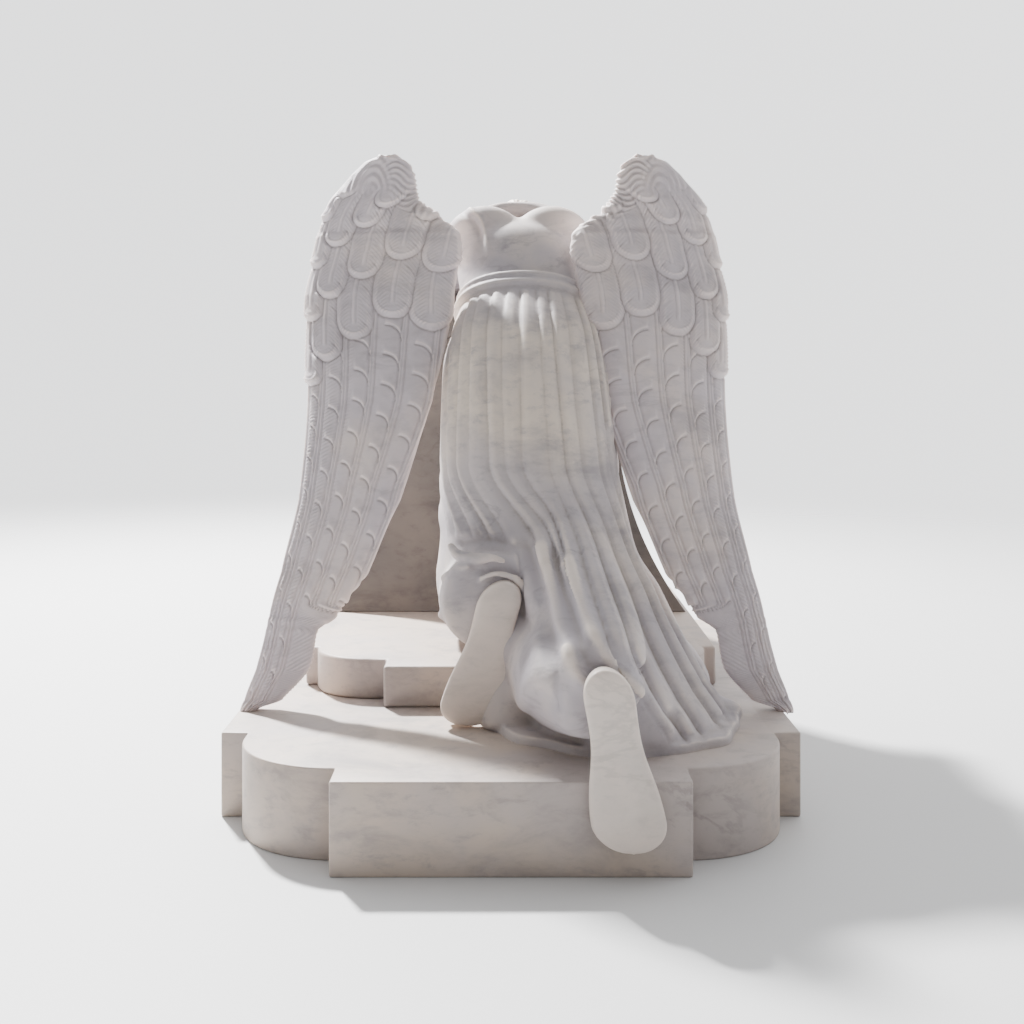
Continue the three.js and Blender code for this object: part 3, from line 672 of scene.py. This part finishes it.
def hair_cap():
    """Hair over the skull, in waved locks that run from the parting to the nape."""
    mesh = blob((0, 0, 0), (1, 1, 1), detail=180)
    x, y, z = read(mesh.vertices, "co").T
    covered = 1 - 0.20 * smooth_step(-z, 0.12, 0.36)
    cap = np.stack([0.080 * x, 0.098 * y, 0.104 * z], axis=1) * covered[:, None]
    cap = cap @ np.array(Euler((0.42, 0, 0)).to_matrix()).T
    turn = np.arctan2(cap[:, 0], cap[:, 2] + 0.030)
    waved = turn + 0.055 * np.sin(cap[:, 1] / 0.0105 + 2.0 * np.abs(turn))
    lock = 0.0042 * (np.abs(np.sin(7.5 * waved)) ** 0.7 - 0.6) + 0.0011 * np.sin(46 * waved)
    parting = 0.004 * np.exp(-(cap[:, 0] / 0.004) ** 2) * smooth_step(cap[:, 1], -0.01, 0.03)
    rise = (lock - parting) * smooth_step(covered, 0.85, 0.98)
    cap += cap / np.linalg.norm(cap, axis=1)[:, None] * rise[:, None]
    mesh.vertices.foreach_set("co", cap.ravel())
    mesh.update()
    return mesh


def knot():
    """Hair wound in a low knot."""
    mesh = blob((0, 0, 0), (1, 1, 1), detail=120)
    co = read(mesh.vertices, "co")
    wound = np.arctan2(co[:, 2], co[:, 0]) + 3.2 * np.hypot(co[:, 0], co[:, 2])
    co *= (1 + 0.07 * np.abs(np.sin(2.5 * wound)) ** 0.8 + 0.02 * np.sin(16 * wound))[:, None]
    co = co * np.array([0.048, 0.032, 0.034]) + np.array([0, -0.094, -0.028])
    mesh.vertices.foreach_set("co", co.ravel())
    mesh.update()
    return mesh


def mirrored(stops):
    """The same stops on both sides of the face."""
    return [[(side * stop[0], *stop[1:]) for stop in stops] for side in (-1, 1)]


def face_height(co, normal):
    """Lid lines, the parting of the lips, nostrils and the groove under the nose."""
    turned = (co - np.array(HEAD)) @ np.array(Euler((-BOW, 0, 0)).to_matrix())
    x, y, z = turned.T
    front = (y > 0.045) & (np.abs(x) < 0.056)
    side = np.abs(x)
    lash = -0.0145 - 0.0035 * np.cos((side - 0.029) / 0.016 * 1.5)
    lid = near(side, 0.029, 0.018) ** 0.5
    height = -0.0016 * lid * np.exp(-((z - lash) / 0.0012) ** 2)
    height += 0.0009 * lid * np.exp(-((z - lash - 0.0028) / 0.0018) ** 2)
    crease = 0.0035 + 0.004 * np.cos((side - 0.029) / 0.018 * 1.4)
    height -= 0.0011 * lid * np.exp(-((z - crease) / 0.0014) ** 2)
    parted = -0.0712 + 0.0012 * np.cos(side / 0.007) * near(side, 0, 0.02) - 12.0 * side ** 3
    height -= 0.0020 * near(side, 0, 0.026) ** 0.6 * np.exp(-((z - parted) / 0.0012) ** 2)
    height -= 0.0012 * np.exp(-(x / 0.0030) ** 2) * np.exp(-((z + 0.057) / 0.006) ** 2)
    height -= 0.0022 * np.exp(-((side - 0.0065) / 0.0028) ** 2 - ((z + 0.0505) / 0.0022) ** 2)
    brow = 0.021 - 14 * (side - 0.024) ** 2
    height += 0.0007 * near(side, 0.028, 0.022) * np.exp(-((z - brow) / 0.0022) ** 2)
    return height * front


parts = [blob((0, -0.008, 0.008), (0.069, 0.088, 0.094), detail=120),
         blob((0, 0.018, 0.044), (0.056, 0.065, 0.052), detail=100),
         blob((0, 0.030, -0.044), (0.054, 0.056, 0.072), detail=100),
         blob((0, 0.060, -0.096), (0.021, 0.021, 0.018), detail=60),
         blob((0, 0.062, -0.072), (0.026, 0.024, 0.020), detail=60),
         blob((0, 0.1035, -0.0385), (0.0092, 0.0085, 0.0085)),
         tube("bridge", [(0, 0.078, 0.016, 0.0075), (0, 0.088, -0.006, 0.0078),
                         (0, 0.100, -0.036, 0.0095)], 40, 40),
         tube("lip", [(-0.022, 0.079, -0.0715, 0.003), (-0.009, 0.0895, -0.0675, 0.0050),
                      (0, 0.0900, -0.0680, 0.0046), (0.009, 0.0895, -0.0675, 0.0050),
                      (0.022, 0.079, -0.0715, 0.003)], 30, 60),
         tube("lip", [(-0.018, 0.080, -0.0740, 0.003), (0, 0.0880, -0.0765, 0.0062),
                      (0.018, 0.080, -0.0740, 0.003)], 30, 50),
         hair_cap(), knot()]
for side in (-1, 1):
    parts += [blob((side * 0.030, 0.054, -0.036), (0.022, 0.023, 0.026)),
              blob((side * 0.029, 0.0625, -0.007), (0.0145, 0.0135, 0.0125)),
              blob((side * 0.0105, 0.0930, -0.0435), (0.0062, 0.0085, 0.0060))]
for stops in mirrored([(0.004, 0.079, 0.020, 0.0075), (0.022, 0.0765, 0.0245, 0.0080),
                       (0.046, 0.058, 0.014, 0.007)]):
    parts.append(tube("brow", stops, 30, 40))
for stops in mirrored([(0.010, 0.070, 0.088, 0.010), (0.052, 0.050, 0.040, 0.015),
                       (0.073, 0.012, -0.016, 0.017), (0.062, -0.044, -0.040, 0.017),
                       (0.026, -0.084, -0.036, 0.014)]):
    parts.append(tube("rolled_hair", stops, 60, 120,
                      fluted=lambda end, turn: 0.12 * np.abs(np.sin(math.pi * (5 * turn + 4 * end)))))
parts = [on_head(part) for part in parts]
parts.append(tube("neck", [(0.020, 0.195, 1.160, 0.056), (0.020, 0.275, 1.160, 0.050),
                           (0.020, 0.340, 1.165, 0.052)], 60, 40))
head = fused(parts, 0.0018, 2)
raised(head, face_height)
show_hollows(head, 8, 0.0016)
finished(head, "angel_head", skin_marble, "angel")

# ---- The praying hands ----
# Laid palm to palm under the bowed face, with the wrists coming out of the wide sleeves.
PALM = Vector((MIDDLE, 0.536, 1.098))
REACH, RISE = Vector((0, 0.764, 0.645)), Vector((0, -0.645, 0.764))
# Each finger: start along the hand, place across the palm, length and radius.
FINGERS = ((0.020, 0.025, 0.068, 0.0088), (0.022, 0.008, 0.076, 0.0092),
           (0.020, -0.009, 0.070, 0.0088), (0.014, -0.025, 0.054, 0.0078))
WRIST = [(0.070, 0.514, 1.080, 0.027), (0.030, 0.520, 1.080, 0.025), (0.014, 0.534, 1.092, 0.022)]


def hand(side):
    """One hand: palm, four fingers with their knuckles, and the thumb."""
    def at(along, across, out):
        return PALM + REACH * along + RISE * across + Vector((side * out, 0, 0))

    pieces = [tube("palm", [(*at(-0.045, 0, 0.013), 0.024, 1.0), (*at(-0.010, 0, 0.012), 0.030, 1.0),
                            (*at(0.030, 0, 0.010), 0.032, 1.0)], 50, 50, 0.7)]
    flat = read(pieces[0].vertices, "co")
    flat[:, 0] = MIDDLE + side * 0.0005 + (flat[:, 0] - MIDDLE) * 0.42
    pieces[0].vertices.foreach_set("co", flat.ravel())
    for start, across, length, radius in FINGERS:
        stops = [(*at(start + length * share, across * (1 - 0.10 * share), 0.0088 - 0.001 * share),
                  radius * size) for share, size in ((-0.2, 1.0), (0.1, 1.02), (0.32, 0.9), (0.5, 0.96),
                                                     (0.75, 0.82), (1.0, 0.74))]
        pieces.append(tube("finger", stops, 24, 60, 0.9))
    pieces.append(tube("thumb", [(*at(-0.030, 0.018, 0.014), 0.014), (*at(0.000, 0.036, 0.012), 0.011),
                                 (*at(0.026, 0.046, 0.009), 0.0095), (*at(0.044, 0.048, 0.008), 0.0075)],
                       24, 50, 0.9))
    pieces.append(tube("wrist", [(MIDDLE + side * x, y, z, r) for x, y, z, r in WRIST], 40, 40))
    return pieces


hands = fused(hand(-1) + hand(1), 0.0017, 2)
show_hollows(hands, 8, 0.0020)
finished(hands, "angel_hands", skin_marble, "angel")

# ---- The wings ----
# Each wing is one tall slab of cooler marble, pinned behind a shoulder and standing on the
# base. Short rounded feathers lap over six long ones, all cut with quills and barbs.
WING = np.array([
    # z, outer edge, inner edge, y
    (0.1605, 0.556, 0.530, -0.357), (0.180, 0.550, 0.478, -0.352), (0.240, 0.529, 0.424, -0.342),
    (0.318, 0.512, 0.408, -0.326), (0.342, 0.507, 0.372, -0.320), (0.430, 0.488, 0.308, -0.296),
    (0.575, 0.464, 0.246, -0.240), (0.780, 0.464, 0.184, -0.142), (1.020, 0.486, 0.142, -0.012),
    (1.160, 0.466, 0.134, 0.032), (1.200, 0.455, 0.176, 0.038), (1.228, 0.443, 0.218, 0.040),
    (1.265, 0.420, 0.232, 0.040), (1.305, 0.384, 0.240, 0.038), (1.332, 0.352, 0.256, 0.036),
    (1.344, 0.324, 0.280, 0.035),
])
WING_MIRROR = 0.012
# The long feathers fan from the outer edge: the width of their fan at each height.
FAN = ((0.16, 0.180, 0.240, 0.333, 0.457, 0.605, 0.782, 1.0),
       (0.055, 0.150, 0.200, 0.190, 0.228, 0.265, 0.344, 0.40))
# Columns of short feathers: place across, half width, height of the lowest tip, and lean.
COLUMNS = ((0.045, 0.026, 0.812, 0.00), (0.16, 0.036, 0.865, 0.02), (0.36, 0.041, 0.911, 0.03),
           (0.605, 0.046, 0.957, 0.05), (0.875, 0.049, 0.929, 0.08))
ROW = 0.143
HIGHEST_TIP = 1.29
NOTCH_PITCH = 0.066
BARB = 0.0034


def wing_ring(z):
    """Outer edge, inner edge and y of the wing at each height."""
    place = np.interp(z, WING[:, 0], np.arange(len(WING)))
    return through(WING, place)[:, 1:].T


def wing_place(share, turn):
    """Height, and place across from the outer edge to the inner, of a point on the slab."""
    z = WING[0, 0] + (WING[-1, 0] - WING[0, 0]) * share
    near_share = 0.86
    t = np.where(turn < near_share, turn / near_share, (1 - turn) / (1 - near_share))
    return z, t, turn < near_share


def wing_point(side):
    def point_at(share, turn):
        z, t, near_side = wing_place(share, turn)
        outer, inner, y = wing_ring(z)
        rounding = np.sqrt(1 - 0.85 * smooth_step(z, 1.180, 1.352) ** 2)
        thick = (0.026 + 0.036 * smooth_step(z, 0.300, 1.000)) / 2 * rounding
        closing = np.sqrt(np.clip(1 - np.abs(2 * t - 1) ** 5, 0.0, 1))
        wrap = 0.062 * rounding * (1 - t) ** 3 * smooth_step(z, 0.250, 0.900)
        y = y + wrap + np.where(near_side, -thick, thick) * closing
        return np.stack([WING_MIRROR + side * (outer + (inner - outer) * t), y, z], axis=1)

    return point_at


def long_feathers(z, across, side):
    """Relief of the long feathers, and for the finest barbs a running number and a strength."""
    spread = 1.0 + 3.0 * smooth_step(-z, -0.37, -0.31)
    lines = np.array([(k / 6) ** 1.25 * np.interp(z, *FAN) * (spread if k > 2 else 1.0) for k in range(8)])
    band = np.clip((across > lines).sum(axis=0) - 1, 0, 6)
    start, end = np.take_along_axis(lines, np.array([band, band + 1]), axis=0)
    within = (across - start) / (end - start)
    # Double shafts along each feather, and a swell between them.
    to_shaft = np.minimum(across - start, end - across)
    height = 0.0026 * np.exp(-(to_shaft / 0.0050) ** 4) - 0.0018 * np.exp(-(to_shaft / 0.0012) ** 2)
    height -= 0.0018 * np.exp(-((to_shaft - 0.0074) / 0.0022) ** 2)
    height += 0.0036 * np.sin(math.pi * np.clip(within, 0, 1)) ** 0.8
    # Crescent notches, one below the other.
    drop = 1.0 - np.sqrt(np.clip(1 - np.clip((within - 0.34) / 0.56, 0, 1) ** 2, 0, 1))
    stagger = np.array([0.0, 0.4, 0.15, 0.62, 0.3, 0.8, 0.1])[band] + (0.17 if side > 0 else 0.0)
    run = np.mod((z + 0.034 * drop) / NOTCH_PITCH + stagger, 1.0)
    run = np.where(run > 0.5, run - 1, run) * NOTCH_PITCH
    notched = smooth_step(within, 0.30, 0.40) * (within < 0.93)
    height += notched * (-0.0030 * np.exp(-(run / 0.0022) ** 2)
                         + 0.0030 * smooth_step(run, 0.0, 0.004) * smooth_step(-run, -0.030, -0.004))
    # Slanting barbs on the outer feathers, and on all of them below the step.
    hatch = (z + 0.55 * (end - across) + 0.0012 * np.sin(90 * z)) / 0.0080
    comb = smooth_step(-band, -1.5, -0.5) + (band == 1) * smooth_step(-within, -0.7, -0.4)
    comb = comb + (band == 2) * smooth_step(-within, -0.36, -0.20)
    comb = np.clip(comb + smooth_step(-z, -0.34, -0.30), 0, 1) * (0.75 + 0.25 * np.sin(37 * z))
    off_shaft = smooth_step(to_shaft, 0.006, 0.010)
    height += 0.0012 * comb * off_shaft * np.sin(2 * math.pi * hatch)
    return height, (z + 0.8 * (end - across)) / BARB, 0.35 * off_shaft


def short_feather_places(side):
    """Tip height, place across, half width and lean of every short feather, lowest first."""
    feathers = []
    for column, (place, half, lowest, lean) in enumerate(COLUMNS):
        for row in range(5):
            wobble = 0.5 * math.sin(12.9 * column + 7.7 * row + (2.1 if side > 0 else 0.0))
            tip = lowest + row * ROW * (1 - 0.03 * row) + 0.014 * wobble + (0.010 if side > 0 else 0.0)
            if tip <= HIGHEST_TIP:
                feathers.append((tip, place + 0.03 * wobble, half * (1 + 0.08 * wobble), lean))
    return sorted(feathers)


def short_feathers(z, across, side, height, strand, strength):
    """Lays the short feathers over the long ones, each over those below it."""
    for tip, place, half, lean in short_feather_places(side):
        tip_outer, tip_inner, _ = wing_ring(np.array([tip]))
        size = half * (1.0 - 0.30 * smooth_step(np.array([tip]), 1.12, 1.30)[0])
        up = z - tip
        x = across - place * (tip_outer - tip_inner) - lean * up * (1 if side > 0 else 0.35)
        # The outline: straight sides and a round tip.
        ahead = size * 1.05
        dist_end = ahead - np.hypot(x * ahead / size, np.minimum(up - ahead, 0))
        edge = np.where(up < ahead, dist_end, size - np.abs(x))
        inside = (edge > 0) & (up > 0) & (up < 0.24)
        beside = (edge > -0.005) & ~inside & (up > -0.006) & (up < 0.17)
        height = np.where(beside, height - 0.0022 * (1 - np.abs(edge) / 0.005).clip(0, 1), height)
        # A thick lip at the tip that thins upwards, with a groove inside its rim.
        crown = np.sqrt(np.clip(edge / 0.011, 0, 1))
        thick = 0.0080 * (1 - smooth_step(up, 0.03, 0.19)) + 0.0022
        own = thick * crown + 0.0026 * near(up, 0.012, 0.020) * crown
        own -= 0.0013 * np.exp(-((edge - 0.015) / 0.0024) ** 2) * smooth_step(-up, -0.055, -0.030)
        quill = smooth_step(up, 0.030, 0.040)
        own += quill * 0.0015 * np.exp(-(x / 0.0042) ** 4)
        own -= quill * 0.0015 * np.exp(-((np.abs(x) - 0.0052) / 0.0015) ** 2)
        # Barbs that bow down from the quill, and notches on the side towards the body.
        bowed = np.abs(x) / size
        barb_run = (up + 0.030 * bowed ** 1.6 + 0.010 * bowed) / 0.0092
        barbed = smooth_step(np.abs(x), 0.007, 0.013) * smooth_step(edge, 0.002, 0.008)
        outward_side = x < 0
        own += np.where(outward_side, 0.0011, 0.0007) * barbed * np.sin(2 * math.pi * barb_run)
        notch = np.mod((up + 0.052 * (1 - np.sqrt(np.clip(1 - bowed ** 2, 0, 1)))) / 0.043, 1.0)
        notch = np.where(notch > 0.5, notch - 1, notch) * 0.043
        notched = ~outward_side * smooth_step(bowed, 0.35, 0.5) * smooth_step(edge, 0.0, 0.004)
        own -= 0.0022 * notched * np.exp(-(notch / 0.0022) ** 2)
        height = np.where(inside, own, height)
        strand = np.where(inside, (up + 0.030 * bowed ** 1.6) / BARB, strand)
        strength = np.where(inside, 0.6 * barbed, strength)
    return height, strand, strength


def wrist_height(z, across, reach, inner, side, height):
    """The plain wrist at the wing's top, and the strands that curl round the inner edge."""
    wrist = smooth_step(z, 1.235, 1.290)
    inner_edge = smooth_step(-(reach - inner), -0.075, -0.030) * smooth_step(z, 1.165, 1.20)
    wavy = (z + 0.012 * np.sin(70 * (reach - inner) + 40 * z)) / 0.0135
    curl = wrist * (1 - inner_edge) * smooth_step(across, 0.0, 0.03)
    swirl = np.hypot(reach - 0.330, 0.7 * (z - 1.262)) + 0.004 * np.sin(60 * across + 30 * z)
    return (height * (1 - wrist) + 0.005 * wrist
            + (0.0026 if side > 0 else 0.0017) * inner_edge * np.sin(2 * math.pi * wavy)
            + 0.0016 * curl * np.sin(2 * math.pi * swirl / 0.0150))


def feather_height(co, normal, side):
    """All of a wing's relief, on the side that faces back."""
    z = co[:, 2]
    outer, inner, _ = wing_ring(z)
    reach = np.abs(co[:, 0] - WING_MIRROR)
    across = np.clip(outer - reach, 0, None)
    height, strand, strength = short_feathers(z, across, side, *long_feathers(z, across, side))
    height = wrist_height(z, across, reach, inner, side, height)
    facing = smooth_step(-normal[:, 1], -0.25, 0.15)
    return height * facing, strand, strength * facing


wing_marble = marble("feathered_wing_marble", warm=(0.73, 0.635, 0.60), cool=(0.61, 0.55, 0.575),
                     coolness=0.02, rough=0.64, veins=0.7, tooth=0.0005)
for node, side in (("left_wing", -1), ("right_wing", 1)):
    mesh = wrapped(node, 180, 540, wing_point(side))
    co, normal = read(mesh.vertices, "co"), read(mesh.vertex_normals, "vector")
    height, strand, strength = feather_height(co, normal, side)
    co += normal * height[:, None]
    mesh.vertices.foreach_set("co", co.ravel())
    for name, values in (("strand", strand), ("strand_depth", strength)):
        mesh.attributes.new(name, "FLOAT", "POINT").data.foreach_set("value", values)
    mesh.update()
    show_hollows(mesh, 8, 0.0024)
    finished(mesh, node + "_feathers", wing_marble, node)

# ---- The studio ----
# A plain pale floor that fades out, soft daylight that comes mostly from the altar's side, one
# high window, and a level camera behind the angel's heels.
bm = bmesh.new()
bmesh.ops.create_grid(bm, x_segments=1, y_segments=1, size=30.0)
mesh = bpy.data.meshes.new("floor")
bm.to_mesh(mesh)
bm.free()
floor = bpy.data.objects.new("floor", mesh)
bpy.context.scene.collection.objects.link(floor)
pale = Finish(bpy.data.materials.new("pale_floor"))
pale.shader.inputs["Base Color"].default_value = (0.64, 0.64, 0.64, 1.0)
on_floor = pale.node("ShaderNodeTexCoord")[3]
out_from_middle = pale.node("ShaderNodeVectorMath", {"operation": "LENGTH"}, [on_floor])[1]
pale.plug("Alpha", 1.0 - out_from_middle.ramp(2.2, 7.0))
pale.shader.inputs["Roughness"].default_value = 0.6
mesh.materials.append(pale.owner)

sky = Finish(bpy.data.worlds.new("studio"))
towards = sky.node("ShaderNodeSeparateXYZ", {}, [sky.node("ShaderNodeTexCoord")[0]])
daylight = towards[1].ramp(-0.3, 0.8) * 1.9 + towards[2].ramp(0.1, 0.9) * 0.32
daylight = daylight + towards[0].ramp(-0.2, 1.0) * 0.22 + 0.32
sky.plug("Strength", daylight)
sky.shader.inputs["Color"].default_value = (0.985, 0.99, 1.0, 1.0)
bpy.context.scene.world = sky.owner


def lamp(name, place, aim, size, power):
    light = bpy.data.lights.new(name, "AREA")
    light.size = size
    light.energy = power
    holder = bpy.data.objects.new(name, light)
    holder.location = place
    holder.rotation_euler = (Vector(aim) - Vector(place)).to_track_quat("-Z", "Y").to_euler()
    bpy.context.scene.collection.objects.link(holder)


lamp("high_window", place=(-2.7, 4.15, 5.6), aim=(0.0, 0.0, 0.5), size=0.5, power=3200.0)

camera = bpy.data.cameras.new("camera")
camera.sensor_width = 36.0
camera.lens = 46.4
camera.shift_x = 0.001
camera.shift_y = -0.1348
viewer = bpy.data.objects.new("camera", camera)
viewer.location = (0.0, -3.03, 0.84)
viewer.rotation_euler = (math.pi / 2, 0.0, 0.0)
bpy.context.scene.collection.objects.link(viewer)
bpy.context.scene.camera = viewer
